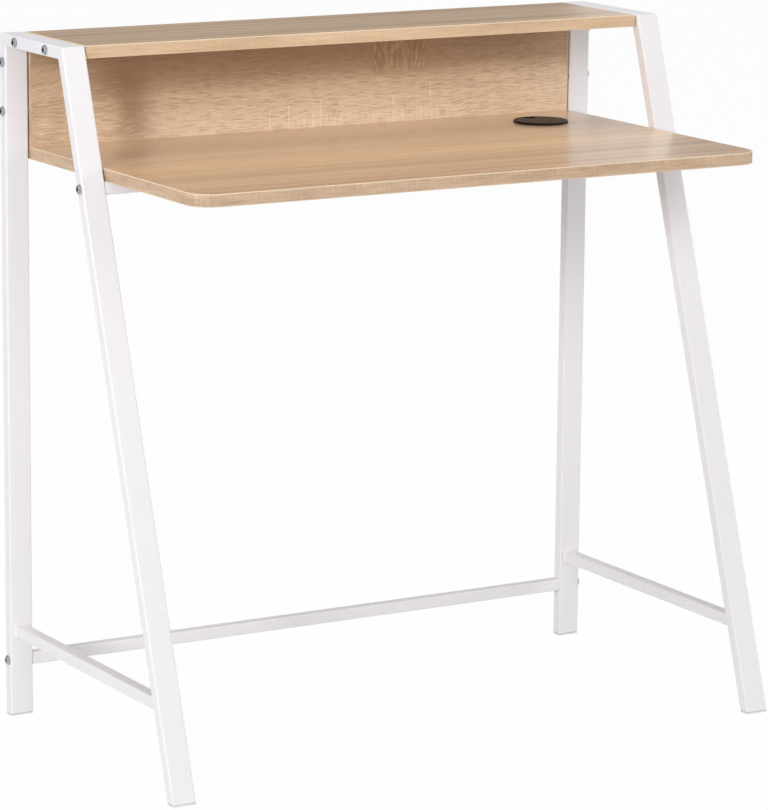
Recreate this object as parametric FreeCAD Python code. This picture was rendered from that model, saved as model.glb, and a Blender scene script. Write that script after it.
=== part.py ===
import FreeCAD, Part
import math
import os

# A small computer desk: two welded tube side frames, a desktop, a back panel and a top shelf
# bolted between them, two cross rails, and a cable grommet in the desktop.
# Millimetres. The origin is on the floor under the middle of the desk, with +X to the right as
# seen from the front, +Y to the back and +Z up. Each physical piece is a file of its own.

# Overall size, over the side frames
overall_width = 840.0
overall_depth = 450.0
overall_height = 850.0

# Side frames: flat tube with rounded corners, 30 across the desk and 15 in the frame's own plane
tube_width = 30.0
tube_depth = 15.0
tube_wall = 1.2
tube_corner = 2.0
top_rail_length = 170.0      # rear of the upright to the front corner of the leg, along the top

# Square rails: one low in each side frame, one under the desktop, one low at the back
rail_size = 15.0
rail_wall = 1.2
rail_corner = 1.5
side_rail_height = 107.5     # middle of the rail above the floor
rear_rail_height = 70.0      # middle of the rail above the floor

# Foot caps pushed into the tube ends
foot_thickness = 2.5
foot_plug_length = 14.0
foot_plug_wall = 1.6
foot_plug_clearance = 0.1

# Boards: faced chipboard with a thin band glued round the edges
board_thickness = 15.0
edge_band_thickness = 2.0
edge_band_ease = 1.0         # rounding along the band's outer edges
back_panel_height = 124.0    # top of the desktop to the underside of the shelf
desktop_depth = 450.0
desktop_corner_radius = 30.0
shelf_front_setback = 1.5    # shelf edge behind the leg's top front corner
shelf_rear_setback = 1.0     # shelf edge in front of the rear of the frame
board_end_gap = 2.0          # board end to the side frame, kept by a spacer washer at each bolt
spacer_diameter = 14.0

# Button-head bolts through the side frames
bolt_diameter = 6.0
bolt_head_diameter = 12.0
bolt_head_height = 3.3
bolt_head_rim = 0.8          # straight edge below the dome
bolt_head_flat = 6.0         # across the flat on top of the dome
bolt_tip_chamfer = 0.75
bolt_socket_width = 4.0      # across the flats of the hexagon
bolt_socket_depth = 2.0
bolt_hole_clearance = 0.3    # all round the shank
thread_clearance = 0.05      # all round the shank inside a nut
shelf_bolt_setback = 43.0    # rear of the frame to the rear bolt of the top rail
shelf_bolt_pitch = 83.0
panel_bolt_low_share = 0.36  # places up the height of the back panel
panel_bolt_high_share = 0.84

# Barrel nuts sunk in the boards, and threaded plugs in the ends of the cross rails
barrel_nut_diameter = 10.0
barrel_nut_inset = 22.0      # end of the board to the axis of the nut
barrel_nut_skin = 1.5        # from the nut to either face of the board
barrel_nut_clearance = 0.05
barrel_slot_width = 1.4
barrel_slot_depth = 1.2
board_bolt_past_nut = 3.0
board_bolt_room = 2.0        # hole left past the tip of the bolt
end_nut_length = 14.0
end_nut_clearance = 0.05

# Screws and dowels
front_screw_count = 3
front_screw_inset = 90.0     # side frame to the outer screws
front_screw_diameter = 4.0
front_screw_head_diameter = 8.0
front_screw_head_height = 2.4
front_screw_head_flat = 4.0
front_screw_bite = 10.0      # length in the desktop
panel_screw_count = 4
panel_screw_inset = 67.5     # side frame to the outer screws
panel_screw_diameter = 6.0
panel_screw_head_diameter = 10.0
panel_screw_head_height = 3.0
panel_screw_bite = 35.0      # length in the edge of the back panel
screw_recess_width = 3.0     # across the flats of the hexagon
screw_recess_depth = 1.8
screw_hole_clearance = 0.05
screw_tip_length = 4.0
dowel_diameter = 8.0
dowel_face_depth = 10.0      # length in the face of a board
dowel_edge_depth = 20.0      # length in the edge of the back panel
dowel_clearance = 0.05
dowel_end_room = 1.0
panel_dowel_count = 2
panel_dowel_inset = 175.0
shelf_dowel_count = 3
shelf_dowel_inset = 110.0

# Cable grommet: a flanged liner dropped into a round hole, and a lid with a cable notch
grommet_hole_diameter = 60.0
grommet_from_right = 98.0    # right end of the desktop to the middle of the hole
grommet_from_rear = 103.0    # rear edge of the desktop to the middle of the hole
liner_clearance = 0.3
liner_wall = 1.6
liner_below_board = 2.0
liner_ledge_drop = 9.0       # desktop's surface to the ledge inside the liner
liner_ledge_width = 1.0
flange_lip = 5.0             # flange beyond the edge of the hole
flange_height = 3.0
flange_round = 1.6
flange_rim_width = 3.5
lid_thickness = 2.0
lid_round = 0.5
lid_clearance = 0.3
lid_seat_height = 0.8        # ledge above the desktop that the lid rests on
lid_skirt_depth = 6.0
lid_skirt_wall = 1.4
cable_notch_width = 18.0
cable_notch_depth = 13.0

# Worked out from the sizes above
Vector = FreeCAD.Vector
along_x = Vector(1, 0, 0)
along_y = Vector(0, 1, 0)
along_z = Vector(0, 0, 1)
left, right = -1, 1
side_names = {left: "left", right: "right"}
trim_reach = 2 * (overall_width + overall_depth + overall_height)
overshoot = tube_width + tube_depth

outer_x = overall_width / 2
inner_x = outer_x - tube_width
board_x = inner_x - board_end_gap
tube_x = outer_x - tube_width / 2
rear_y = overall_depth / 2
front_y = -overall_depth / 2
upright_y = rear_y - tube_depth / 2
upright_front_y = rear_y - tube_depth
top_rail_z = overall_height - tube_depth / 2

leg_top_y = rear_y - top_rail_length
leg_lean = math.atan2(leg_top_y - front_y, overall_height)
leg_down = Vector(0, -math.sin(leg_lean), -math.cos(leg_lean))
leg_back = Vector(0, math.cos(leg_lean), -math.sin(leg_lean))

shelf_z = top_rail_z - board_thickness / 2
panel_y = upright_y - board_thickness / 2
desktop_height = shelf_z - back_panel_height
desktop_z = desktop_height - board_thickness
desktop_rear_y = panel_y + board_thickness
front_rail_z = desktop_z - rail_size / 2


def leg_middle_y(height):
    """Middle of the leg, front to back, at a height above the floor."""
    leg_front_y = leg_top_y - (overall_height - height) * math.tan(leg_lean)
    return leg_front_y + tube_depth / math.cos(leg_lean) / 2


def spread(count, inset):
    """Places across the desk, evenly apart, with the outer two inset from the side frames."""
    reach = inner_x - inset
    return [reach * (2 * index / (count - 1) - 1) for index in range(count)]


def rounded_rectangle(width, depth, corner):
    """A closed outline centred on the origin, width along X and depth along Y."""
    if corner <= 0:
        half_w, half_d = width / 2, depth / 2
        corners = [(-half_w, -half_d), (half_w, -half_d), (half_w, half_d), (-half_w, half_d)]
        points = [Vector(x, y, 0) for x, y in corners]
        return Part.makePolygon(points + points[:1])
    edges = []
    flat_w, flat_d = width / 2 - corner, depth / 2 - corner
    centres = [Vector(flat_w, flat_d, 0), Vector(-flat_w, flat_d, 0),
               Vector(-flat_w, -flat_d, 0), Vector(flat_w, -flat_d, 0)]
    for quarter, centre in enumerate(centres):
        ends = []
        for turn in (0, 45, 90):
            angle = math.radians(90 * quarter + turn)
            ends.append(centre + Vector(math.cos(angle), math.sin(angle), 0) * corner)
        if edges:
            edges.append(Part.LineSegment(last_point, ends[0]).toShape())
        else:
            first_point = ends[0]
        edges.append(Part.Arc(*ends).toShape())
        last_point = ends[2]
    edges.append(Part.LineSegment(last_point, first_point).toShape())
    return Part.Wire(edges)


def bar(outline, start, end, width_axis):
    """An outline pushed from start to end, with its width along width_axis."""
    run = end - start
    depth_axis = run.cross(width_axis)
    turn = FreeCAD.Rotation(width_axis, depth_axis, run, "ZXY")
    solid = Part.Face(outline).extrude(along_z * run.Length)
    solid.Placement = FreeCAD.Placement(start, turn)
    return solid


def placed(shape, position, direction):
    """A copy of a shape modelled along +Z, turned to a direction and moved."""
    copy = shape.copy()
    copy.Placement = FreeCAD.Placement(position, FreeCAD.Rotation(along_z, direction))
    return copy


def trimmed(shape, point, normal):
    """What is left of a shape behind a plane."""
    block = Part.makeBox(trim_reach, trim_reach, trim_reach, Vector(-trim_reach / 2, -trim_reach / 2, 0))
    return shape.cut(placed(block, point, normal))


def round_hole(diameter, start, run):
    """A cylinder to cut away, from start along the vector run."""
    return Part.makeCylinder(diameter / 2, run.Length, start, run)


def turned(points):
    """A solid of revolution about Z from (radius, height) points, with arcs as (radius, height, "mid")."""
    edges = []
    index = 0
    loop = points + points[:1]
    while index < len(points):
        start = Vector(loop[index][0], 0, loop[index][1])
        middle = loop[index + 1]
        if len(middle) == 3:
            end = Vector(loop[index + 2][0], 0, loop[index + 2][1])
            edges.append(Part.Arc(start, Vector(middle[0], 0, middle[1]), end).toShape())
            index += 2
        else:
            edges.append(Part.LineSegment(start, Vector(middle[0], 0, middle[1])).toShape())
            index += 1
    return Part.Face(Part.Wire(edges)).revolve(Vector(), along_z, 360)


def quarter_round(centre_radius, centre_height, reach):
    """The middle point of a quarter arc that rounds an outer upper corner."""
    diagonal = reach * math.sqrt(0.5)
    return (centre_radius + diagonal, centre_height + diagonal, "mid")


def dome_middle(flat, edge, top, drop):
    """The middle point of an arc that leaves a flat top level and bends to an edge below it."""
    reach = edge - flat
    radius = (reach ** 2 + drop ** 2) / (2 * drop)
    angle = math.atan2(reach, radius - drop) / 2
    return (flat + radius * math.sin(angle), top + radius * (1 - math.cos(angle)), "mid")


def hexagon_socket(width, depth):
    """A six-sided recess that opens at height zero and goes up."""
    points = []
    for corner in range(7):
        angle = math.radians(60 * corner)
        points.append(Vector(math.cos(angle), math.sin(angle), 0) * (width / math.sqrt(3)))
    return Part.Face(Part.makePolygon(points)).extrude(along_z * depth)


# Places of the bolts. Each is (y, z) on the side frame.
shelf_bolt_y = rear_y - shelf_bolt_setback
shelf_bolts_at = [(shelf_bolt_y - step * shelf_bolt_pitch, top_rail_z) for step in range(2)]
panel_bolts_at = [(upright_y, desktop_height + share * back_panel_height)
                  for share in (panel_bolt_low_share, panel_bolt_high_share)]
front_rail_bolts_at = [(leg_middle_y(front_rail_z), front_rail_z)]
rear_rail_bolts_at = [(upright_y, rear_rail_height)]
bolt_hole = bolt_diameter + 2 * bolt_hole_clearance
board_bolt_reach = board_end_gap + barrel_nut_inset + barrel_nut_diameter / 2 + board_bolt_past_nut

parts = {}


# Side frames
def tube_outline(inset):
    """The outline of the frame tube, or one inside it by an inset."""
    return rounded_rectangle(tube_width - 2 * inset, tube_depth - 2 * inset, tube_corner - inset)


def rail_outline(inset):
    """The outline of the square rail, or one inside it by an inset."""
    return rounded_rectangle(rail_size - 2 * inset, rail_size - 2 * inset, rail_corner - inset)


def frame_tube(start, end):
    """A length of frame tube in the plane of a side frame."""
    return bar(tube_outline(0), start, end, along_x).cut(bar(tube_outline(tube_wall), start, end, along_x))


def square_rail(start, end, width_axis):
    """A length of the square rail."""
    outside = bar(rail_outline(0), start, end, width_axis)
    return outside.cut(bar(rail_outline(rail_wall), start, end, width_axis))


def drilled(tube, side, bolts_at):
    """A frame tube with the bolt holes through both of its side walls."""
    for y, z in bolts_at:
        start = Vector(side * (outer_x + overshoot), y, z)
        tube = tube.cut(round_hole(bolt_hole, start, along_x * (-side * (tube_width + 2 * overshoot))))
    return tube


def foot_cap(axis_foot, axis_up, top_of_plug):
    """A foot cap: a plate under the tube wall and a hollow plug inside the tube."""
    plug_inset = tube_wall + foot_plug_clearance
    low = axis_foot - axis_up * overshoot
    high = axis_foot + axis_up * top_of_plug
    plate = trimmed(bar(tube_outline(0), low, high, along_x), Vector(0, 0, foot_thickness), along_z)
    plug = bar(tube_outline(plug_inset), low, high, along_x)
    plug = plug.cut(bar(tube_outline(plug_inset + foot_plug_wall), low, high, along_x))
    plug = trimmed(plug, Vector(0, 0, foot_thickness), along_z * -1)
    plug = trimmed(plug, Vector(0, 0, foot_thickness + foot_plug_length), along_z)
    return trimmed(plate.fuse(plug), Vector(), along_z * -1).removeSplitter()


rear_corner = Vector(0, rear_y, overall_height)
front_corner = Vector(0, leg_top_y, overall_height)
inner_drop = tube_depth * (1 - math.sin(leg_lean)) / math.cos(leg_lean)
front_inner_corner = front_corner + leg_back * tube_depth + leg_down * inner_drop
front_mitre = front_inner_corner - front_corner
toward_rail = Vector(0, -front_mitre.z, front_mitre.y)
toward_upright = Vector(0, 1, -1)
foot_top = Vector(0, 0, foot_thickness)
plug_bar = foot_plug_length + overshoot

for side in (left, right):
    name = side_names[side]
    shift = along_x * (side * tube_x)

    # Rear upright, mitred at the top to the top rail
    low = shift + Vector(0, upright_y, 0)
    upright = frame_tube(low, low + along_z * (overall_height + overshoot))
    upright = trimmed(trimmed(upright, rear_corner, toward_upright * -1), foot_top, along_z * -1)
    parts[name + "_rear_upright"] = drilled(upright, side, panel_bolts_at + rear_rail_bolts_at)

    # Top rail, mitred at both ends
    rail_rear = shift + Vector(0, rear_y + overshoot, top_rail_z)
    rail_front = shift + Vector(0, leg_top_y - overshoot, top_rail_z)
    top_rail = trimmed(frame_tube(rail_rear, rail_front), rear_corner, toward_upright)
    top_rail = trimmed(top_rail, front_corner, toward_rail * -1)
    parts[name + "_top_rail"] = drilled(top_rail, side, shelf_bolts_at)

    # Leaning front leg, mitred at the top and cut level at the foot
    leg_axis = shift + front_corner + leg_back * (tube_depth / 2)
    leg_length = overall_height / math.cos(leg_lean) + overshoot
    leg = frame_tube(leg_axis - leg_down * overshoot, leg_axis + leg_down * leg_length)
    leg = trimmed(trimmed(leg, front_corner, toward_rail), foot_top, along_z * -1)
    parts[name + "_front_leg"] = drilled(leg, side, front_rail_bolts_at)

    # Side rail between the upright and the leg
    side_rear = shift + Vector(0, upright_front_y, side_rail_height)
    side_front = shift + Vector(0, leg_middle_y(side_rail_height), side_rail_height)
    side_rail = square_rail(side_rear, side_front, along_x)
    parts[name + "_side_rail"] = trimmed(side_rail, front_corner + leg_back * tube_depth, leg_back * -1)

    # Foot caps
    leg_foot = shift + Vector(0, leg_middle_y(0), 0)
    parts[name + "_rear_foot"] = foot_cap(low, along_z, plug_bar)
    parts[name + "_front_foot"] = foot_cap(leg_foot, leg_down * -1, plug_bar)


# Cross rails, with a threaded plug welded into each end
def cross_rail(y, z):
    """A square rail from one side frame to the other."""
    return square_rail(Vector(-inner_x, y, z), Vector(inner_x, y, z), along_y)


def end_nuts(y, z):
    """The two threaded plugs in the ends of a cross rail."""
    outline = rail_outline(rail_wall + end_nut_clearance)
    nuts = []
    for side in (left, right):
        face = Vector(side * inner_x, y, z)
        inward = along_x * -side
        nut = bar(outline, face, face + inward * end_nut_length, along_y)
        nuts.append(nut.cut(round_hole(bolt_diameter + 2 * thread_clearance, face, inward * end_nut_length)))
    return Part.makeCompound(nuts)


front_rail_y = front_rail_bolts_at[0][0]
front_screws_at = [Vector(x, front_rail_y, front_rail_z - rail_size / 2)
                   for x in spread(front_screw_count, front_screw_inset)]
front_screw_length = rail_size + front_screw_bite
front_screw_hole = front_screw_diameter + 2 * screw_hole_clearance

front_rail = cross_rail(front_rail_y, front_rail_z)
for place in front_screws_at:
    front_rail = front_rail.cut(round_hole(front_screw_hole, place, along_z * rail_size))
parts["front_cross_rail"] = front_rail
parts["rear_cross_rail"] = cross_rail(upright_y, rear_rail_height)
parts["front_rail_end_nuts"] = end_nuts(front_rail_y, front_rail_z)
parts["rear_rail_end_nuts"] = end_nuts(upright_y, rear_rail_height)


# Desktop
def board_plan(half_width, low_y, high_y, corner, thickness):
    """A board lying flat at height zero, with its two front corners rounded."""
    if corner <= 0:
        return Part.makeBox(2 * half_width, high_y - low_y, thickness, Vector(-half_width, low_y, 0))
    flat_x, flat_y, bulge = half_width - corner, low_y + corner, corner * math.sqrt(0.5)
    rear_left, rear_right = Vector(-half_width, high_y, 0), Vector(half_width, high_y, 0)
    left_end, right_end = Vector(-half_width, flat_y, 0), Vector(half_width, flat_y, 0)
    left_front, right_front = Vector(-flat_x, low_y, 0), Vector(flat_x, low_y, 0)
    edges = [Part.LineSegment(rear_right, rear_left).toShape(),
             Part.LineSegment(rear_left, left_end).toShape(),
             Part.Arc(left_end, Vector(-flat_x - bulge, flat_y - bulge, 0), left_front).toShape(),
             Part.LineSegment(left_front, right_front).toShape(),
             Part.Arc(right_front, Vector(flat_x + bulge, flat_y - bulge, 0), right_end).toShape(),
             Part.LineSegment(right_end, rear_right).toShape()]
    return Part.Face(Part.Wire(edges)).extrude(along_z * thickness)


def banded_board(low_y, high_y, corner, low_z):
    """A board between the side frames, as its core and the band round its edges."""
    band = edge_band_thickness
    blank = board_plan(board_x, low_y, high_y, corner, board_thickness)
    long_edges = [edge for edge in blank.Edges if edge.BoundBox.ZLength < edge_band_ease]
    blank = blank.makeFillet(edge_band_ease, long_edges)
    core = board_plan(board_x - band, low_y + band, high_y - band, corner - band, board_thickness)
    core.translate(along_z * low_z)
    blank.translate(along_z * low_z)
    return core, blank.cut(core)


panel_screws_at = [Vector(x, upright_y, desktop_z)
                   for x in spread(panel_screw_count, panel_screw_inset)]
panel_screw_length = board_thickness + panel_screw_bite
panel_dowels_at = [Vector(x, upright_y, desktop_height)
                   for x in spread(panel_dowel_count, panel_dowel_inset)]
shelf_dowels_at = [Vector(x, upright_y, shelf_z)
                   for x in spread(shelf_dowel_count, shelf_dowel_inset)]
grommet_at = Vector(board_x - grommet_from_right, desktop_rear_y - grommet_from_rear, desktop_height)


def countersunk_screw(clearance):
    """A screw with its head at height zero, pointing up, or the hole for it with a clearance."""
    head = panel_screw_head_diameter / 2 + clearance
    shank = panel_screw_diameter / 2 + clearance
    length = panel_screw_length + clearance
    neck = length - screw_tip_length
    return turned([(0, 0), (head, 0), (shank, panel_screw_head_height), (shank, neck), (0, length)])


def dowel_hole(place, up_depth, down_depth):
    """The hole for a dowel, across the joint at place."""
    start = place - along_z * (down_depth + dowel_end_room)
    run = along_z * (up_depth + down_depth + 2 * dowel_end_room)
    return round_hole(dowel_diameter + 2 * dowel_clearance, start, run)


desktop_front_y = desktop_rear_y - desktop_depth
desktop, desktop_band = banded_board(desktop_front_y, desktop_rear_y, desktop_corner_radius, desktop_z)
desktop = desktop.cut(round_hole(grommet_hole_diameter, grommet_at, along_z * -board_thickness))
for place in front_screws_at:
    desktop = desktop.cut(round_hole(front_screw_hole, place, along_z * front_screw_length))
for place in panel_screws_at:
    desktop = desktop.cut(placed(countersunk_screw(screw_hole_clearance), place, along_z))
for place in panel_dowels_at:
    desktop = desktop.cut(dowel_hole(place, dowel_edge_depth, dowel_face_depth))
parts["desktop"] = desktop
parts["desktop_edge_band"] = desktop_band


# Back panel and top shelf, with holes in their ends for the bolts and their nuts
def end_holes(board, bolts_at):
    """A board with a hole in each end for every bolt."""
    for side in (left, right):
        for y, z in bolts_at:
            run = along_x * (-side * (board_bolt_reach + board_bolt_room))
            board = board.cut(round_hole(bolt_hole, Vector(side * inner_x, y, z), run))
    return board


def nut_places(bolts_at):
    """Middle of each barrel nut, where its bolt crosses it."""
    nut_x = board_x - barrel_nut_inset
    return [Vector(side * nut_x, y, z) for side in (left, right) for y, z in bolts_at]


def nut_holes(board, bolts_at, outward):
    """A board with a pocket for each barrel nut, open on the face that outward points to."""
    depth = board_thickness - barrel_nut_skin
    diameter = barrel_nut_diameter + 2 * barrel_nut_clearance
    for middle in nut_places(bolts_at):
        mouth = middle + outward * (board_thickness / 2)
        board = board.cut(round_hole(diameter, mouth, outward * -depth))
    return board


panel_outward, shelf_outward = along_y, along_z * -1
panel_corner = Vector(-board_x, panel_y, desktop_height)
panel_blank = Part.makeBox(2 * board_x, board_thickness, back_panel_height, panel_corner)
upright_edges = [edge for edge in panel_blank.Edges if edge.BoundBox.ZLength > board_thickness]
panel_blank = panel_blank.makeFillet(edge_band_ease, upright_edges)
core_width = 2 * (board_x - edge_band_thickness)
core_corner = panel_corner + along_x * edge_band_thickness
panel = Part.makeBox(core_width, board_thickness, back_panel_height, core_corner)
panel_bands = panel_blank.cut(panel)
panel = nut_holes(end_holes(panel, panel_bolts_at), panel_bolts_at, panel_outward)
for place in panel_screws_at:
    panel = panel.cut(placed(countersunk_screw(screw_hole_clearance), place, along_z))
for place in panel_dowels_at:
    panel = panel.cut(dowel_hole(place, dowel_edge_depth, dowel_face_depth))
for place in shelf_dowels_at:
    panel = panel.cut(dowel_hole(place, dowel_face_depth, dowel_edge_depth))
parts["back_panel"] = panel
parts["back_panel_end_bands"] = end_holes(panel_bands, panel_bolts_at)

shelf, shelf_band = banded_board(leg_top_y + shelf_front_setback, rear_y - shelf_rear_setback, 0, shelf_z)
shelf = nut_holes(end_holes(shelf, shelf_bolts_at), shelf_bolts_at, shelf_outward)
for place in shelf_dowels_at:
    hole = dowel_hole(place, dowel_face_depth, dowel_edge_depth)
    shelf, shelf_band = shelf.cut(hole), shelf_band.cut(hole)
parts["top_shelf"] = shelf
parts["top_shelf_edge_band"] = end_holes(shelf_band, shelf_bolts_at)


# Spacer washers, bolts and barrel nuts
def end_spacers(bolts_at):
    """Washers between the side frames and the ends of a board, one round each bolt."""
    washers = []
    for side in (left, right):
        for y, z in bolts_at:
            face = Vector(side * board_x, y, z)
            run = along_x * (side * board_end_gap)
            washers.append(round_hole(spacer_diameter, face, run).cut(round_hole(bolt_hole, face, run)))
    return Part.makeCompound(washers)


def button_bolt(length):
    """A bolt with the underside of its domed head at height zero, pointing up."""
    edge, flat, top = bolt_head_diameter / 2, bolt_head_flat / 2, -bolt_head_height
    dome = dome_middle(flat, edge, top, bolt_head_height - bolt_head_rim)
    shank = bolt_diameter / 2
    profile = [(0, top), (flat, top), dome, (edge, -bolt_head_rim), (edge, 0), (shank, 0),
               (shank, length - bolt_tip_chamfer), (shank - bolt_tip_chamfer, length), (0, length)]
    recess = placed(hexagon_socket(bolt_socket_width, bolt_socket_depth), Vector(0, 0, top), along_z)
    return turned(profile).cut(recess)


def frame_bolts(bolts_at, reach):
    """Bolts through both side frames, reaching past the inner wall."""
    bolt = button_bolt(tube_width + reach)
    return Part.makeCompound([placed(bolt, Vector(side * outer_x, y, z), along_x * -side)
                              for side in (left, right) for y, z in bolts_at])


def barrel_nuts(bolts_at, outward):
    """Barrel nuts in a board, with a screwdriver slot on the end that shows."""
    length = board_thickness - 2 * barrel_nut_skin
    nuts = []
    for middle in nut_places(bolts_at):
        nut = round_hole(barrel_nut_diameter, middle - outward * (length / 2), outward * length)
        across = along_x * barrel_nut_diameter
        nut = nut.cut(round_hole(bolt_diameter + 2 * thread_clearance, middle - across / 2, across))
        slot = Part.makeBox(barrel_nut_diameter, barrel_slot_width, barrel_slot_depth,
                            Vector(-barrel_nut_diameter / 2, -barrel_slot_width / 2, -barrel_slot_depth))
        nuts.append(nut.cut(placed(slot, middle + outward * (length / 2), outward)))
    return Part.makeCompound(nuts)


parts["shelf_spacers"] = end_spacers(shelf_bolts_at)
parts["back_panel_spacers"] = end_spacers(panel_bolts_at)
parts["shelf_bolts"] = frame_bolts(shelf_bolts_at, board_bolt_reach)
parts["back_panel_bolts"] = frame_bolts(panel_bolts_at, board_bolt_reach)
parts["front_rail_bolts"] = frame_bolts(front_rail_bolts_at, end_nut_length)
parts["rear_rail_bolts"] = frame_bolts(rear_rail_bolts_at, end_nut_length)
parts["shelf_barrel_nuts"] = barrel_nuts(shelf_bolts_at, shelf_outward)
parts["back_panel_barrel_nuts"] = barrel_nuts(panel_bolts_at, panel_outward)


# Screws up through the front rail and the desktop, and dowels between the boards
def pan_screw():
    """A screw with the underside of its rounded head at height zero, pointing up."""
    edge, flat, top = front_screw_head_diameter / 2, front_screw_head_flat / 2, -front_screw_head_height
    dome = dome_middle(flat, edge, top, front_screw_head_height)
    shank = front_screw_diameter / 2
    profile = [(0, top), (flat, top), dome, (edge, 0), (shank, 0),
               (shank, front_screw_length - screw_tip_length), (0, front_screw_length)]
    return with_hexagon(turned(profile), top)


def with_hexagon(screw, head_height):
    """A screw with its drive recess cut in the head."""
    recess = hexagon_socket(screw_recess_width, screw_recess_depth)
    return screw.cut(placed(recess, Vector(0, 0, head_height), along_z))


def dowels(places, up_depth, down_depth):
    """Plain dowels across a joint between two boards."""
    run = along_z * (up_depth + down_depth)
    return Part.makeCompound([round_hole(dowel_diameter, place - along_z * down_depth, run)
                              for place in places])


front_screw = pan_screw()
panel_screw = with_hexagon(countersunk_screw(0), 0)
parts["desktop_front_screws"] = Part.makeCompound([placed(front_screw, place, along_z)
                                                   for place in front_screws_at])
parts["back_panel_screws"] = Part.makeCompound([placed(panel_screw, place, along_z)
                                                for place in panel_screws_at])
parts["back_panel_dowels"] = dowels(panel_dowels_at, dowel_edge_depth, dowel_face_depth)
parts["shelf_dowels"] = dowels(shelf_dowels_at, dowel_face_depth, dowel_edge_depth)

# Cable grommet, modelled with the desktop's surface at height zero
barrel_radius = grommet_hole_diameter / 2 - liner_clearance
bore_radius = barrel_radius - liner_wall
ledge_radius = bore_radius - liner_ledge_width
flange_radius = grommet_hole_diameter / 2 + flange_lip
recess_radius = flange_radius - flange_rim_width
liner_foot = -board_thickness - liner_below_board
liner = turned([(ledge_radius, liner_foot), (barrel_radius, liner_foot), (barrel_radius, 0),
                (flange_radius, 0), (flange_radius, flange_height - flange_round),
                quarter_round(flange_radius - flange_round, flange_height - flange_round, flange_round),
                (flange_radius - flange_round, flange_height), (recess_radius, flange_height),
                (recess_radius, lid_seat_height), (bore_radius, lid_seat_height),
                (bore_radius, -liner_ledge_drop), (ledge_radius, -liner_ledge_drop)])
parts["grommet_liner"] = placed(liner, grommet_at, along_z)

lid_radius = recess_radius - lid_clearance
lid_top = lid_seat_height + lid_thickness
skirt_outer = bore_radius - lid_clearance
skirt_inner = skirt_outer - lid_skirt_wall
skirt_foot = lid_seat_height - lid_skirt_depth
lid = turned([(0, lid_seat_height), (skirt_inner, lid_seat_height), (skirt_inner, skirt_foot),
              (skirt_outer, skirt_foot), (skirt_outer, lid_seat_height), (lid_radius, lid_seat_height),
              (lid_radius, lid_top - lid_round),
              quarter_round(lid_radius - lid_round, lid_top - lid_round, lid_round),
              (lid_radius - lid_round, lid_top), (0, lid_top)])
notch_round = cable_notch_width / 2
notch_middle = lid_radius - cable_notch_depth + notch_round
notch_height = lid_top - skirt_foot + 2 * overshoot
notch = Part.makeCylinder(notch_round, notch_height, Vector(0, notch_middle, skirt_foot - overshoot))
notch = notch.fuse(Part.makeBox(cable_notch_width, cable_notch_depth + overshoot, notch_height,
                                Vector(-notch_round, notch_middle, skirt_foot - overshoot)))
parts["grommet_lid"] = placed(lid.cut(notch), grommet_at, along_z)

os.makedirs("parts", exist_ok=True)
for node, shape in parts.items():
    shape.exportStep("parts/" + node + ".step")
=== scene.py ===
import bpy
import math
from mathutils import Matrix, Vector


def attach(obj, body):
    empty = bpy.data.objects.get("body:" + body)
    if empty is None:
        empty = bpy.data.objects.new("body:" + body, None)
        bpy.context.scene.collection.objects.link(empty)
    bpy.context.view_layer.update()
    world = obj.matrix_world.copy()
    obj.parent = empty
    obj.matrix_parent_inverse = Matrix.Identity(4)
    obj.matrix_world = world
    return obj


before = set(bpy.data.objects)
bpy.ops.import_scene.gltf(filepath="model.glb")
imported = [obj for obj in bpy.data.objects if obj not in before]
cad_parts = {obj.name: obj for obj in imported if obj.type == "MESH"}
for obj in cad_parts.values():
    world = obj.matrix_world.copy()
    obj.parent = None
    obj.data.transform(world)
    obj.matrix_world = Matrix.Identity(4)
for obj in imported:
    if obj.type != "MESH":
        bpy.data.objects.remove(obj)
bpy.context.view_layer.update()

# Side frames
# Each side is a frame of flat steel tube, 30 x 15 mm, mitred and welded at its top corners, with a
# square rail welded in low down. The frame is powder coated white after welding, so the coat lies a
# little thick over the rounded corners and has a fine orange-peel skin.


class Finish:
    """A value that changes over a surface. Sums with it add Math nodes to its material."""

    def __init__(self, tree, socket=None):
        self.tree = tree
        self.socket = socket

    def node(self, kind, settings=(), inputs=(), output=0):
        """One node of a type, with its settings and then the values or links of its sockets."""
        made = self.tree.nodes.new("ShaderNode" + kind)
        for name, value in dict(settings).items():
            if name == "stops":
                ramp = made.color_ramp.elements
                while len(ramp) < len(value):
                    ramp.new(0.5)
                for stop, (place, colour) in zip(ramp, value):
                    stop.position = place
                    stop.color = colour
            else:
                setattr(made, name, value)
        for name, value in dict(inputs).items():
            if isinstance(value, Finish):
                self.tree.links.new(value.socket, made.inputs[name])
            else:
                made.inputs[name].default_value = value
        return Finish(self.tree, made.outputs[output])

    def math(self, operation, first, second=0.0):
        return self.node("Math", {"operation": operation}, {0: first, 1: second})

    def feeds(self, shader, socket):
        self.tree.links.new(self.socket, shader.inputs[socket])

    def __add__(self, other):
        return self.math("ADD", self, other)

    def __sub__(self, other):
        return self.math("SUBTRACT", self, other)

    def __rsub__(self, other):
        return self.math("SUBTRACT", other, self)

    def __mul__(self, other):
        return self.math("MULTIPLY", self, other)

    __radd__ = __add__
    __rmul__ = __mul__


def seen(red, green, blue):
    """A colour as a screen shows it, 0 to 255, as the light that a shader takes."""
    shares = [value / 255 for value in (red, green, blue)]
    light = [s / 12.92 if s <= 0.04045 else ((s + 0.055) / 1.055) ** 2.4 for s in shares]
    return (*light, 1.0)


def new_finish(name, **fixed):
    """A material with its shader's fixed values set, and the start of its nodes."""
    material = bpy.data.materials.new(name)
    material.use_nodes = True
    shader = material.node_tree.nodes["Principled BSDF"]
    for socket, value in fixed.items():
        shader.inputs[socket.replace("_", " ")].default_value = value
    return material, shader, Finish(material.node_tree)


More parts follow.
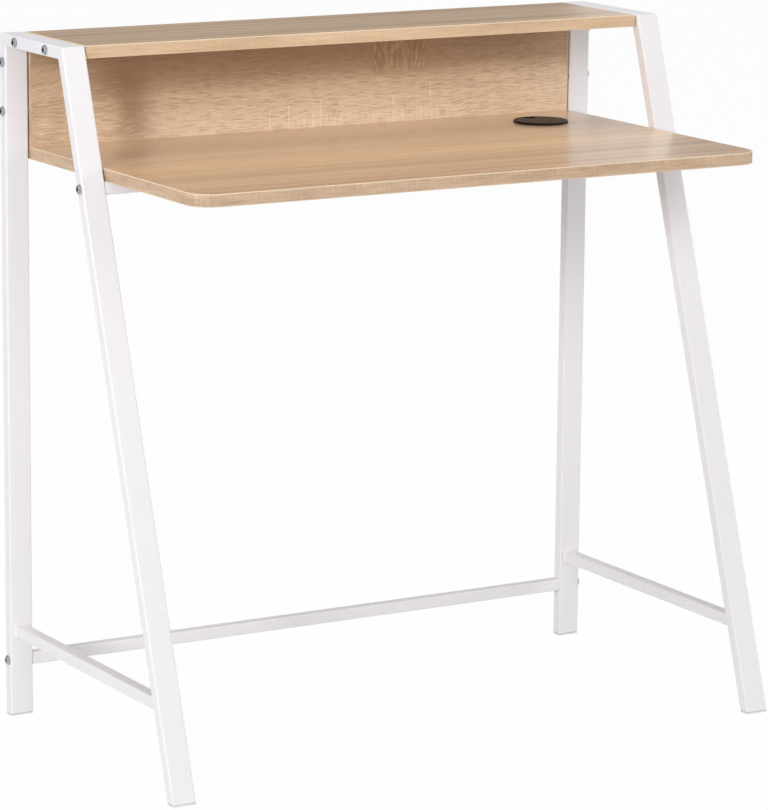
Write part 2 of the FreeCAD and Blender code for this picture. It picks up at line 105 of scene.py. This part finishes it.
def place_on(start):
    """The place on a piece, in metres, as three values."""
    place = start.node("TexCoord", output="Object")
    return [start.node("SeparateXYZ", inputs={0: place}, output=axis) for axis in "XYZ"]


def cloudy(start, x, y, z, detail=2.0, roughness=0.5):
    """Soft noise from 0 to 1 on a place that is already stretched to its scale."""
    place = start.node("CombineXYZ", inputs={0: x, 1: y, 2: z})
    return start.node("TexNoise", inputs={"Vector": place, "Scale": 1.0, "Detail": detail,
                                          "Roughness": roughness})


def stretched(start, place, scales, detail=2.0):
    """Soft noise from 0 to 1 on a place, with a scale for each axis."""
    return cloudy(start, *[axis * scale for axis, scale in zip(place, scales)], detail=detail)


def between(value, low, high):
    """0 below low, 1 above high, and an even slope from one to the other."""
    return value.node("MapRange", inputs={"Value": value, "From Min": low, "From Max": high})


def blended(start, share, base, tint):
    """A base colour turned to a tint by a share from 0 to 1."""
    return start.node("Mix", {"data_type": "RGBA"}, {0: share, 6: base, 7: tint}, output=2)


def raised(start, height, depth, strength):
    """Relief on the surface, depth metres high where height is 1."""
    return start.node("Bump", inputs={"Height": height, "Distance": depth, "Strength": strength})


def dress(material, *names):
    """Gives a finish to pieces of the CAD frame."""
    for name in names:
        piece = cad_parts[name].data
        piece.materials.clear()
        piece.materials.append(material)


powder_coat, coat_shader, coat = new_finish("white_powder_coat", Roughness=0.4, Specular_IOR_Level=0.4)
coat_place = place_on(coat)
coat_thickness = stretched(coat, coat_place, (14.0, 14.0, 9.0), detail=3.0)
blended(coat, coat_thickness, seen(232, 230, 233), seen(237, 235, 238)).feeds(coat_shader, "Base Color")
orange_peel = stretched(coat, coat_place, (900.0,) * 3)
(0.36 + orange_peel * 0.1).feeds(coat_shader, "Roughness")
raised(coat, orange_peel, 0.00012, 0.35).feeds(coat_shader, "Normal")
for side in ("left", "right"):
    dress(powder_coat, side + "_rear_upright", side + "_top_rail", side + "_front_leg", side + "_side_rail")

# Weld beads
# The joints that aren't ground flush keep their weld: a short bead of overlapping ripples in each
# inside corner of a frame and round both ends of its low rail. The white coat covers them.
bead_radius = 0.0017
bead_pitch = 0.0012
bead_seed = 7
bead_inset = 0.003
ripple_least, ripple_most = 0.8, 1.15
outer_x, inner_x = 0.420, 0.390
rail_out, rail_in = 0.4125, 0.3975
corner_z, rail_top, rail_foot = 0.835, 0.115, 0.100
upright_face, leg_corner_y = 0.210, 0.0659
leg_face_top, leg_face_foot = -0.1713, -0.1763

bead_lines = []
for side in (-1, 1):
    corner = [side * (inner_x + bead_inset), side * (outer_x - bead_inset)]
    for y in (upright_face, leg_corner_y):
        bead_lines.append([(x, y, corner_z) for x in corner])
    for y_top, y_foot in ((upright_face, upright_face), (leg_face_top, leg_face_foot)):
        ring = [(rail_in, y_foot, rail_foot), (rail_in, y_top, rail_top),
                (rail_out, y_top, rail_top), (rail_out, y_foot, rail_foot)]
        ring = [(side * x, y, z) for x, y, z in ring]
        bead_lines.append(ring + ring[:1])
bead_mesh = bpy.data.meshes.new("weld_beads")
bead_points = [point for line in bead_lines for point in line]
bead_edges = []
for line in bead_lines:
    first = bead_points.index(line[0])
    bead_edges += [(first + step, first + step + 1) for step in range(len(line) - 1)]
bead_mesh.from_pydata(bead_points, bead_edges, [])
weld_beads = bpy.data.objects.new("weld_beads", bead_mesh)
bpy.context.scene.collection.objects.link(weld_beads)

bead_tree = bpy.data.node_groups.new("weld_bead_run", "GeometryNodeTree")
bead_tree.interface.new_socket("Lines", in_out="INPUT", socket_type="NodeSocketGeometry")
bead_sockets = (("Bead radius", "Float"), ("Ripple pitch", "Float"), ("Seed", "Int"), ("Coat", "Material"))
for label, kind in bead_sockets:
    bead_tree.interface.new_socket(label, in_out="INPUT", socket_type="NodeSocket" + kind)
bead_tree.interface.new_socket("Beads", in_out="OUTPUT", socket_type="NodeSocketGeometry")
bead_in = bead_tree.nodes.new("NodeGroupInput")
bead_out = bead_tree.nodes.new("NodeGroupOutput")


def bead_node(kind, links, **settings):
    """One node of the weld bead's tree, with its settings and its links."""
    made = bead_tree.nodes.new(kind)
    for name, value in settings.items():
        setattr(made, name, value)
    for socket, value in links.items():
        if isinstance(value, bpy.types.NodeSocket):
            bead_tree.links.new(value, made.inputs[socket])
        else:
            made.inputs[socket].default_value = value
    return made


bead_path = bead_node("GeometryNodeMeshToCurve", {"Mesh": bead_in.outputs["Lines"]})
bead_steps = bead_node("GeometryNodeResampleCurve",
                       {"Curve": bead_path.outputs[0], "Length": bead_in.outputs["Ripple pitch"]},
                       mode="LENGTH")
ripple = bead_node("GeometryNodeMeshUVSphere",
                   {"Segments": 8, "Rings": 5, "Radius": bead_in.outputs["Bead radius"]})
ripple_size = bead_node("FunctionNodeRandomValue",
                        {2: ripple_least, 3: ripple_most, "Seed": bead_in.outputs["Seed"]})
ripples = bead_node("GeometryNodeInstanceOnPoints",
                    {"Points": bead_steps.outputs[0], "Instance": ripple.outputs["Mesh"],
                     "Scale": ripple_size.outputs[1]})
ripples = bead_node("GeometryNodeRealizeInstances", {0: ripples.outputs[0]})
ripples = bead_node("GeometryNodeSetShadeSmooth", {0: ripples.outputs[0]})
ripples = bead_node("GeometryNodeSetMaterial",
                    {"Geometry": ripples.outputs[0], "Material": bead_in.outputs["Coat"]})
bead_tree.links.new(ripples.outputs[0], bead_out.inputs[0])
bead_run = weld_beads.modifiers.new("weld_bead_run", "NODES")
bead_run.node_group = bead_tree
bead_values = {"Bead radius": bead_radius, "Ripple pitch": bead_pitch, "Seed": bead_seed, "Coat": powder_coat}
for socket in bead_tree.interface.items_tree:
    if socket.name in bead_values:
        bead_run[socket.identifier] = bead_values[socket.name]
bpy.context.view_layer.update()
bead_shape = bpy.data.meshes.new_from_object(
    weld_beads.evaluated_get(bpy.context.evaluated_depsgraph_get()))
weld_beads.modifiers.remove(bead_run)
weld_beads.data = bead_shape
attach(weld_beads, "desk")

# Foot caps
# White plastic plugs pushed into the lower ends of the four tubes, so that steel doesn't scratch the
# floor. They are moulded, a touch warmer and duller than the coat above them.
foot_plastic, foot_shader, foot = new_finish("white_foot_plastic", Roughness=0.5, Specular_IOR_Level=0.4)
foot_place = place_on(foot)
foot_z = foot_place[2]
foot_scuff = stretched(foot, foot_place, (260.0,) * 3, detail=4.0)
foot_worn = (1 - between(foot_z, 0.0, 0.0018)) * between(foot_scuff, 0.45, 0.7)
foot_seam = between(foot_z, 0.0017, 0.0021) * (1 - between(foot_z, 0.0026, 0.0027))
foot_colour = blended(foot, foot_worn, seen(222, 220, 221), seen(196, 194, 193))
blended(foot, foot_seam * 0.7, foot_colour, seen(150, 148, 148)).feeds(foot_shader, "Base Color")
(0.46 + foot_scuff * 0.12).feeds(foot_shader, "Roughness")
raised(foot, foot_scuff, 0.0001, 0.3).feeds(foot_shader, "Normal")
for side in ("left", "right"):
    dress(foot_plastic, side + "_rear_foot", side + "_front_foot")

# Cross rails
# Two lengths of 15 mm square tube between the frames, one under the desktop and one low at the back.
# They are coated with the frames. The steel plugs welded into their ends, which take the bolts, and the
# nuts sunk in the boards are left in plain zinc.
dress(powder_coat, "front_cross_rail", "rear_cross_rail")
bare_steel, bare_shader, bare = new_finish("plain_zinc_steel", Metallic=1.0)
zinc_bloom = stretched(bare, place_on(bare), (500.0,) * 3, detail=4.0)
blended(bare, zinc_bloom, seen(150, 150, 152), seen(196, 196, 198)).feeds(bare_shader, "Base Color")
(0.34 + zinc_bloom * 0.22).feeds(bare_shader, "Roughness")
dress(bare_steel, "front_rail_end_nuts", "rear_rail_end_nuts", "shelf_barrel_nuts", "back_panel_barrel_nuts")

# Desktop and top shelf
# Chipboard of 15 mm faced with a satin paper print of pale sawn oak, its grain along the desk. Broad
# soft streaks run the whole length, and fine open pores lie along them.


def toned(start, tone, places, tones):
    """A colour that runs through four tones as a value passes four places."""
    stops = [(place, seen(*colour)) for place, colour in zip(places, tones)]
    return start.node("ValToRGB", {"stops": stops}, {0: tone})


def oak_print(start, along, over, seed, tones, wide_bands=()):
    """The colour of the print, its pores and its streaks. Over is the place across the grain."""
    sway = cloudy(start, along * 2.1, over * 7.0, seed)
    swayed = over + (sway - 0.5) * 0.016
    bands = cloudy(start, along * 0.8, swayed * 38.0, seed + 3.0, detail=3.0, roughness=0.6)
    streaks = cloudy(start, along * 2.6, swayed * 190.0, seed + 7.0, detail=3.0)
    hairs = cloudy(start, along * 9.0, swayed * 720.0, seed + 11.0)
    tone = bands * 0.95 + (streaks - 0.5) * 0.42 + (hairs - 0.5) * 0.2
    colour = toned(start, tone, (0.3, 0.44, 0.56, 0.68), tones)
    for middle, reach, share, tint in wide_bands:
        off = (swayed - middle) * (1 / reach)
        glow = start.math("EXPONENT", off * off * -1.0)
        colour = blended(start, glow * share, colour, seen(*tint))
    pores = between(cloudy(start, along * 30.0, swayed * 1050.0, seed + 17.0), 0.60, 0.74)
    return colour, pores, streaks


def oak_finish(name, seed, tones, pore_tint, wide_bands=()):
    """A faced board that lies flat, with its grain along X."""
    material, shader, oak = new_finish(name, Specular_IOR_Level=0.55)
    along, over, _ = place_on(oak)
    colour, pores, streaks = oak_print(oak, along, over, seed, tones, wide_bands)
    blended(oak, pores * 0.4, colour, seen(*pore_tint)).feeds(shader, "Base Color")
    (0.17 + pores * 0.1 + streaks * 0.06).feeds(shader, "Roughness")
    raised(oak, 1 - pores, 0.00012, 0.25).feeds(shader, "Normal")
    return material


# Each wide band has its middle across the desk, its reach, its share and its tint. The first, pale and wide
# along the rear under the shelf, is painted light that lifts the shade the shelf casts there; the others are
# streaks of the print.
desktop_bands_and_painted_light = [(0.16, 0.08, 0.85, (240, 215, 186)), (0.06, 0.03, 0.6, (236, 206, 176)),
                 (-0.035, 0.032, 0.5, (232, 194, 146)), (-0.11, 0.03, 0.35, (196, 165, 134))]
desktop_tones = [(190, 158, 127), (212, 179, 145), (220, 188, 154), (228, 198, 166)]
shelf_tones = [(190, 159, 125), (205, 175, 140), (215, 185, 150), (224, 195, 161)]
dress(oak_finish("oak_desktop_facing", 4.0, desktop_tones, (150, 118, 86), desktop_bands_and_painted_light), "desktop")
dress(oak_finish("oak_shelf_facing", 21.0, shelf_tones, (128, 102, 78)), "top_shelf")

# Back panel
# The same faced board on edge between the uprights. Its print is from a wilder part of the tree: wavy
# pores, a swirl and a knot, a patch of end-grain flame, and pale upright marks left by the saw.
panel_oak, panel_shader, panel = new_finish("oak_panel_facing", Specular_IOR_Level=0.35)
panel_x, panel_y, panel_z = place_on(panel)
panel_tones = [(213, 185, 156), (227, 200, 171), (234, 208, 180), (241, 217, 190)]
desktop_top = 0.711


def swell(middle_x, middle_z, reach_x, reach_z, rise):
    """A soft hump on the panel, rise high at its middle."""
    off_x = (panel_x - middle_x) * (1 / reach_x)
    off_z = (panel_z - middle_z) * (1 / reach_z)
    return panel.math("EXPONENT", (off_x * off_x + off_z * off_z) * -1.0) * rise


def patch(low_x, high_x, low_z, high_z, soft):
    """1 inside a rectangle of the panel and 0 outside it, with soft edges."""
    across = between(panel_x, low_x - soft, low_x) * (1 - between(panel_x, high_x, high_x + soft))
    upright = between(panel_z, low_z - soft, low_z) * (1 - between(panel_z, high_z, high_z + soft))
    return across * upright


def fibres(along, seed, across, low, high, detail=1.0):
    """Marks where noise on a stretched place is high: 0 below low and 1 above high."""
    return between(cloudy(panel, along, seed, across, detail=detail), low, high)


def compared(value, middle, reach):
    """1 where a value lies within reach of a middle, and 0 elsewhere."""
    return panel.node("Math", {"operation": "COMPARE"}, {0: value, 1: middle, 2: reach})


# The grain follows level lines, bent up at both ends and round a knot, with a swirl set into it. The
# swirl, the flame and the saw marks are on the front face alone, and the rear has the level grain.
panel_front = 1 - between(panel_y, 0.2105, 0.211)
ripple_warp = cloudy(panel, panel_x * 18.0, 0.0, panel_z * 55.0, detail=1.0)
slow_warp = cloudy(panel, panel_x * 5.0, 2.0, panel_z * 14.0, detail=1.0)
left_lean = panel.math("MINIMUM", panel_x + 0.305, 0.0) * between(panel_z, 0.75, 0.79) * 0.3
right_lean = panel.math("MAXIMUM", panel_x - 0.2, 0.0) * 0.05
knot = swell(0.218, 0.79, 0.02, 0.011, 0.012)
panel_grain = panel_z + (ripple_warp - 0.5) * 0.005 + (slow_warp - 0.5) * 0.016
panel_grain = panel_grain - left_lean - right_lean + knot
panel_colour, hair_pores, panel_streaks = oak_print(panel, panel_x, panel_grain, 40.0, panel_tones)

# Painted shade: the top of the front face is painted darker, as the shade that the shelf casts on it, and
# more so at the right.
painted_shelf_shade = between(panel_z + (slow_warp - 0.5) * 0.03, 0.76, 0.786) * between(panel_x, -0.345, -0.3)
painted_shelf_shade = panel_front * painted_shelf_shade * (0.54 + between(panel_x, 0.2, 0.32) * 0.18)
# Painted light: the foot of the front face is painted paler, as the fuller light that reaches it below the
# shelf's shade, less so towards the right.
painted_light_foot = panel_front * (1 - between(panel_z, 0.722, 0.772)) * between(panel_x, -0.245, -0.215)
painted_light_foot = painted_light_foot * (0.8 - between(panel_x, -0.15, -0.05) * 0.3 - between(panel_x, 0.18, 0.3) * 0.35)
# Painted shade: the left end of the front face is painted darker, as the shade of the left frame.
painted_left_shade = panel_front * (1 - between(panel_x, -0.345, -0.3))
# Painted shadow: the top of the left end is painted darker still, as the shadow right under the shelf.
painted_corner_shadow = painted_left_shade * between(panel_z, 0.797, 0.812)

swirl = panel_front * swell(-0.25, 0.757, 0.026, 0.04, 1.0)
swirl_shade = swell(-0.275, 0.784, 0.04, 0.024, 0.72) + swell(-0.251, 0.742, 0.025, 0.042, 0.66)
swirl_across = panel_z + panel_x * 0.75 + (ripple_warp - 0.5) * 0.004
swirl_along = panel_x - panel_z * 0.75
swirl_hairs = fibres(swirl_along * 30.0, 4.0, swirl_across * 430.0, 0.46, 0.62)
swirl_dots = fibres(panel_x * 420.0, 15.0, panel_z * 420.0, 0.5, 0.66)
swirl_dots = panel_front * swirl_dots * swell(-0.292, 0.75, 0.016, 0.034, 1.0)

grain_share = 1 - swirl * 0.8
dark_lines = fibres(panel_x * 44.0, 5.0, panel_grain * 740.0, 0.54, 0.6, detail=2.0)
pale_lines = fibres(panel_x * 42.0, 7.0, panel_grain * 780.0, 0.55, 0.61, detail=2.0)
pale_lines = pale_lines * (1 - between(panel_z, 0.755, 0.79) * 0.8)
clusters = fibres(panel_x * 9.0, 8.0, panel_z * 34.0, 0.42, 0.6) + swell(-0.362, 0.776, 0.04, 0.009, 1.0)
dashes = fibres(panel_x * 56.0, 6.0, panel_grain * 860.0, 0.53, 0.64) * clusters

# The flame's lines fan out from its foot.
flame_middle, flame_foot = 0.131, 0.778
flame = panel_front * patch(0.094, 0.168, flame_foot, 0.84, 0.006)
flame_fan = (panel_x - flame_middle) * (1 - (panel_z - flame_foot) * 4.0)
flame_waves = cloudy(panel, flame_fan * 125.0, 9.0, panel_z * 26.0, detail=2.0)
flame_lines = 1 - between(panel.math("ABSOLUTE", flame_waves - 0.5), 0.006, 0.032)
flame_roots = fibres(flame_fan * 300.0, 11.0, panel_z * 26.0, 0.5, 0.62)
flame_roots = flame_roots * (1 - between(panel_z, 0.784, 0.806))

# Each saw mark stands at one place along the panel, from a low to a high end.
saw_marks = [(-0.056, desktop_top, 0.735), (-0.029, desktop_top, 0.741), (-0.007, desktop_top, 0.727),
             (0.006, desktop_top, 0.732), (0.017, desktop_top, 0.746), (0.038, desktop_top, 0.723),
             (0.047, desktop_top, 0.724), (0.095, desktop_top, 0.723), (0.123, desktop_top, 0.746),
             (0.163, desktop_top, 0.727), (0.178, 0.736, 0.760), (0.191, desktop_top, 0.722)]
saw_half_width = 0.0009
saw_cut = 0.0
for mark_x, mark_low, mark_high in saw_marks:
    stands = compared(panel_z, (mark_low + mark_high) / 2, (mark_high - mark_low) / 2)
    saw_cut = compared(panel_x, mark_x, saw_half_width) * stands + saw_cut
saw_cut = panel_front * saw_cut * fibres(panel_x * 60.0, 14.0, panel_z * 420.0, 0.36, 0.56)
saw_hatch = fibres(panel_x * 330.0, 16.0, panel_z * 55.0, 0.54, 0.62)
saw_hatch = saw_hatch * panel_front * patch(-0.05, 0.2, 0.7, 0.724, 0.014)

# Each layer covers the ones before it by its share. Most are the print; the first four are painted shade and
# painted light.
panel_layers = [(painted_shelf_shade, (156, 125, 97)), (painted_light_foot, (254, 233, 206)), (painted_left_shade * 0.36, (176, 146, 115)),
                (painted_corner_shadow * 0.6, (140, 109, 80)), (panel_front * swirl_shade, (150, 119, 90)),
                (dark_lines * grain_share * 0.42, (162, 129, 96)),
                (pale_lines * grain_share * 0.5, (252, 232, 200)),
                (dashes * grain_share * 0.28, (150, 120, 92)),
                (swirl * swirl_hairs * 0.5, (164, 134, 106)), (swirl_dots * 0.32, (156, 125, 96)),
                (hair_pores * 0.25, (140, 110, 82)), (flame * 0.5, (170, 143, 111)),
                (flame * flame_lines * 0.7, (224, 196, 160)), (flame * flame_roots * 0.6, (222, 194, 160)),
                (saw_hatch * 0.5, (253, 234, 203)), (saw_cut * 0.75, (255, 240, 212))]
for share, tint in panel_layers:
    panel_colour = blended(panel, share, panel_colour, seen(*tint))
panel_colour.feeds(panel_shader, "Base Color")
(0.34 + dashes * 0.12 + panel_streaks * 0.06).feeds(panel_shader, "Roughness")
raised(panel, 1 - dashes, 0.0001, 0.03).feeds(panel_shader, "Normal")
dress(panel_oak, "back_panel")

# Edge bands
# Plastic band, 2 mm thick, glued round the boards and printed to match, with saw marks across it. The trimmer
# rounds its long edges and cuts through the print; the cream line painted along them is partly that cut and
# partly a painted highlight on the rounded edges.


def band_finish(name, thin_axis, middle, mark_share, trim_highlight_share, tones):
    """Edge band on a board whose thickness lies along an axis, with its middle at a place in metres."""
    material, shader, band = new_finish(name, Specular_IOR_Level=0.4)
    place = place_on(band)
    mark_scales, pore_scales = [640.0] * 3, [28.0] * 3
    mark_scales[thin_axis], pore_scales[thin_axis] = 40.0, 700.0
    marks = stretched(band, place, mark_scales)
    pores = stretched(band, place, pore_scales)
    clouds = stretched(band, place, (9.0, 9.0, 60.0))
    tone = clouds * 0.5 + (marks - 0.5) * mark_share + (pores - 0.5) * 0.5 + 0.25
    printed = toned(band, tone, (0.3, 0.44, 0.58, 0.7), tones)
    from_middle = band.math("ABSOLUTE", place[thin_axis] - middle)
    # Painted highlight: the cream line along both long edges, which is partly the trimmed print.
    trim_and_highlight = between(from_middle, 0.0064, 0.0069)
    blended(band, trim_and_highlight * trim_highlight_share, printed, seen(240, 218, 190)).feeds(shader, "Base Color")
    (0.42 - trim_and_highlight * 0.1 + pores * 0.1).feeds(shader, "Roughness")
    raised(band, marks, 0.0001, 0.25).feeds(shader, "Normal")
    return material


board_half = 0.0075
shelf_top, panel_rear = 0.850, 0.225
sawn_tones = [(168, 139, 111), (190, 162, 134), (203, 175, 147), (216, 189, 162)]
even_tones = [(192, 162, 131), (208, 179, 147), (217, 188, 156), (227, 199, 168)]
desktop_band = band_finish("oak_desktop_band", 2, desktop_top - board_half, 0.5, 0.85, sawn_tones)
shelf_band = band_finish("oak_shelf_band", 2, shelf_top - board_half, 0.25, 0.85, even_tones)
panel_band = band_finish("oak_panel_band", 1, panel_rear - board_half, 0.12, 0.1, sawn_tones)
dress(desktop_band, "desktop_edge_band")
dress(shelf_band, "top_shelf_edge_band")
dress(panel_band, "back_panel_end_bands")

# Bolts and screws
# Button-head bolts with a hexagon socket, bright zinc plated, through the frames into the boards and rails,
# and the hidden screws. The domes are bright with a light haze, and their sockets are painted dark as the
# shade inside them.
zinc_bright, zinc_shader, zinc = new_finish("bright_zinc_steel", Metallic=1.0)
zinc_place = place_on(zinc)
zinc_haze = stretched(zinc, zinc_place, (320.0,) * 3, detail=3.0)
zinc_facing = zinc.node("SeparateXYZ", inputs={0: zinc.node("TexCoord", output="Normal")}, output="X")
zinc_facing = zinc.math("ABSOLUTE", zinc_facing)
zinc_reach = zinc.math("ABSOLUTE", zinc_place[0])
# Painted shade: the walls and floor of the socket are painted dark, as the shade in the recess.
socket_floor = between(zinc_facing, 0.9, 0.98) * (1 - between(zinc_reach, 0.4218, 0.4222))
socket_painted_shade = (1 - between(zinc_facing, 0.2, 0.35) + socket_floor) * between(zinc_reach, 0.4209, 0.4211)
zinc_colour = blended(zinc, zinc_haze, seen(150, 150, 154), seen(194, 194, 198))
blended(zinc, socket_painted_shade, zinc_colour, seen(62, 61, 64)).feeds(zinc_shader, "Base Color")
(0.2 + zinc_haze * 0.16 + socket_painted_shade * 0.25).feeds(zinc_shader, "Roughness")
dress(zinc_bright, "shelf_bolts", "back_panel_bolts", "front_rail_bolts", "rear_rail_bolts",
      "desktop_front_screws", "back_panel_screws")

# Spacer washers
# Thin washers of natural nylon round the bolts, between the frames and the ends of the boards. They keep the
# boards 2 mm clear of the tubes, which shows as a dark line down the ends. The washers are painted dark grey,
# as the shade deep in that gap, and not in the off-white of nylon.
nylon, nylon_shader, washer = new_finish("nylon_in_painted_shade", Roughness=0.55)
nylon_grain = stretched(washer, place_on(washer), (400.0,) * 3, detail=3.0)
# Painted shade: the washers take the dark grey of the gap's shade.
blended(washer, nylon_grain, seen(128, 126, 121), seen(148, 146, 140)).feeds(nylon_shader, "Base Color")
dress(nylon, "shelf_spacers", "back_panel_spacers")

# Dowels
# Plain beech dowels, 8 mm, glued in the back panel to line it up with the desktop and the shelf.
# They are hidden once the desk is together.
beech, beech_shader, dowel = new_finish("raw_beech", Roughness=0.7)
beech_flecks = stretched(dowel, place_on(dowel), (900.0, 900.0, 120.0), detail=3.0)
blended(dowel, beech_flecks, seen(190, 152, 114), seen(222, 190, 152)).feeds(beech_shader, "Base Color")
dress(beech, "back_panel_dowels", "shelf_dowels")

# Cable grommet
# A black plastic liner dropped into a round hole at the rear right, with a raised rim, and a lid with a
# cable notch that lifts out. Both are moulded with a fine spark texture; the lid is rubbed a little grey.


def grommet_finish(name, dark, worn, rough, shine):
    """Moulded black plastic with a fine spark texture."""
    material, shader, moulded = new_finish(name, Specular_IOR_Level=shine)
    place = place_on(moulded)
    sparks = stretched(moulded, place, (1500.0,) * 3, detail=3.0)
    rubbed = stretched(moulded, place, (60.0,) * 3, detail=3.0)
    blended(moulded, rubbed, seen(*dark), seen(*worn)).feeds(shader, "Base Color")
    (rough + sparks * 0.2).feeds(shader, "Roughness")
    raised(moulded, sparks, 0.00012, 0.5).feeds(shader, "Normal")
    return material


dress(grommet_finish("black_liner_plastic", (15, 12, 9), (23, 19, 15), 0.34, 0.2), "grommet_liner")
dress(grommet_finish("black_lid_plastic", (44, 38, 35), (58, 51, 47), 0.42, 0.4), "grommet_lid")

# Studio
# The desk stands on a white floor that runs into a white background, between soft lamps at the left, the
# front, the right and above. A grey card behind, out of view, keeps the boards from glaring, and a pale
# strip on it shows in the gloss at the right of the desktop.
studio = bpy.context.scene
studio.view_settings.view_transform = "Standard"
pure_white = (1.0, 1.0, 1.0, 1.0)


def stage_paint(name):
    """A studio material with no shader yet: the material, the start of its nodes and its output."""
    material = bpy.data.materials.new(name)
    material.use_nodes = True
    nodes = material.node_tree.nodes
    nodes.remove(nodes["Principled BSDF"])
    return material, Finish(material.node_tree), nodes["Material Output"]


def stage_sheet(name, corners, material):
    """A flat sheet that belongs to the studio and not to the desk."""
    mesh = bpy.data.meshes.new(name)
    mesh.from_pydata(corners, [], [list(range(len(corners)))])
    sheet = bpy.data.objects.new(name, mesh)
    sheet.data.materials.append(material)
    studio.collection.objects.link(sheet)
    return sheet


# The camera and the gloss see the floor almost as pure white, and other light falls on its paint.
floor_reach = 40.0
floor_white_share = 0.97
floor_white, floor_start, floor_output = stage_paint("studio_floor_white")
floor_rays = floor_start.node("LightPath", output="Is Camera Ray") * floor_white_share
floor_rays = floor_rays + floor_start.node("LightPath", output="Is Glossy Ray") * floor_white_share
floor_paint = floor_start.node("BsdfDiffuse", inputs={"Color": (0.8, 0.8, 0.8, 1.0)})
floor_glow = floor_start.node("Emission", inputs={"Color": pure_white, "Strength": 1.0})
floor_look = floor_start.node("MixShader", inputs={0: floor_rays, 1: floor_paint, 2: floor_glow})
floor_look.feeds(floor_output, "Surface")
floor_corners = [(x * floor_reach, y * floor_reach, 0.0) for x, y in ((-1, -1), (1, -1), (1, 1), (-1, 1))]
stage_sheet("studio_floor", floor_corners, floor_white)

card_left, card_right, card_back, card_foot, card_top = -2.0, 6.0, 2.6, 0.2, 4.5
card_dark, card_light, card_pale = (0.22, 0.215, 0.22, 1.0), (0.3, 0.295, 0.3, 1.0), (0.7, 0.69, 0.7, 1.0)
card_grey, card_start, card_output = stage_paint("studio_card_grey")
card_x = place_on(card_start)[0]
card_strip = between(card_x, 1.95, 2.0) * (1 - between(card_x, 2.16, 2.24))
card_shade = blended(card_start, between(card_x, 1.9, 2.3), card_dark, card_light)
card_shade = blended(card_start, card_strip, card_shade, card_pale)
card_start.node("Emission", inputs={"Color": card_shade, "Strength": 1.0}).feeds(card_output, "Surface")
card_corners = [(card_left, card_back, card_foot), (card_right, card_back, card_foot),
                (card_right, card_back, card_top), (card_left, card_back, card_top)]
card = stage_sheet("studio_card", card_corners, card_grey)
card.visible_camera = False
card.visible_diffuse = False
card.visible_shadow = False
card.visible_transmission = False

world = bpy.data.worlds.new("studio_world")
studio.world = world
world.use_nodes = True
sky = Finish(world.node_tree)
sky_shown = sky.node("LightPath", output="Is Camera Ray") + sky.node("LightPath", output="Is Glossy Ray")
sky_shown = between(sky_shown + sky.node("LightPath", output="Is Transmission Ray"), 0.0, 1.0)
sky_light = world.node_tree.nodes["Background"]
sky_light.inputs["Color"].default_value = (0.985, 0.985, 1.0, 1.0)
sky_light.inputs["Strength"].default_value = 0.28
sky_soft = Finish(world.node_tree, sky_light.outputs[0])
sky_white = sky.node("Background", inputs={"Color": pure_white, "Strength": 1.0})
sky_mix = sky.node("MixShader", inputs={0: sky_shown, 1: sky_soft, 2: sky_white})
sky_mix.feeds(world.node_tree.nodes["World Output"], "Surface")

lamp_target = Vector((0.0, 0.0, 0.75))


def soft_lamp(name, place, width, height, watts):
    """A soft lamp turned to the desk, which neither the camera nor the gloss shows."""
    light = bpy.data.lights.new(name, "AREA")
    light.shape = "RECTANGLE"
    light.size, light.size_y = width, height
    light.energy = watts
    lamp = bpy.data.objects.new(name, light)
    lamp.location = place
    lamp.rotation_euler = (lamp_target - Vector(place)).to_track_quat("-Z", "Y").to_euler()
    lamp.visible_camera = False
    lamp.visible_glossy = False
    studio.collection.objects.link(lamp)


soft_lamp("studio_left_lamp", (-5.2, -3.4, 2.2), 2.2, 1.4, 229.0)
soft_lamp("studio_front_lamp", (-1.2, -5.6, 3.3), 1.8, 3.8, 51.0)
soft_lamp("studio_right_lamp", (4.8, -2.6, 2.0), 3.0, 2.0, 87.0)
soft_lamp("studio_top_lamp", (0.0, 0.6, 3.6), 3.0, 3.0, 46.0)
soft_lamp("studio_top_left_lamp", (-2.4, -0.4, 3.8), 2.6, 2.6, 15.0)

# The camera stands at the left of the front, a little above the desk, with a long lens.
focal_pixels, picture_pixels, sensor_mm = 4052.6, 810.0, 36.0
camera_place = (-2.4941, -4.2043, 1.4069)
camera_azimuth, camera_elevation, camera_roll = -0.5336, 0.2046, 0.0095
camera_data = bpy.data.cameras.new("camera")
camera_data.sensor_width = sensor_mm
camera_data.lens = focal_pixels * sensor_mm / picture_pixels
camera_data.clip_end = 200.0
camera = bpy.data.objects.new("camera", camera_data)
back = Vector((math.sin(camera_azimuth) * math.cos(camera_elevation),
               -math.cos(camera_azimuth) * math.cos(camera_elevation), math.sin(camera_elevation)))
across = (-back).cross(Vector((0.0, 0.0, 1.0))).normalized()
upward = across.cross(-back)
right = across * math.cos(camera_roll) + upward * math.sin(camera_roll)
upward = upward * math.cos(camera_roll) - across * math.sin(camera_roll)
turn = Matrix((right, upward, back)).transposed().to_4x4()
camera.matrix_world = Matrix.Translation(camera_place) @ turn
studio.collection.objects.link(camera)
studio.camera = camera
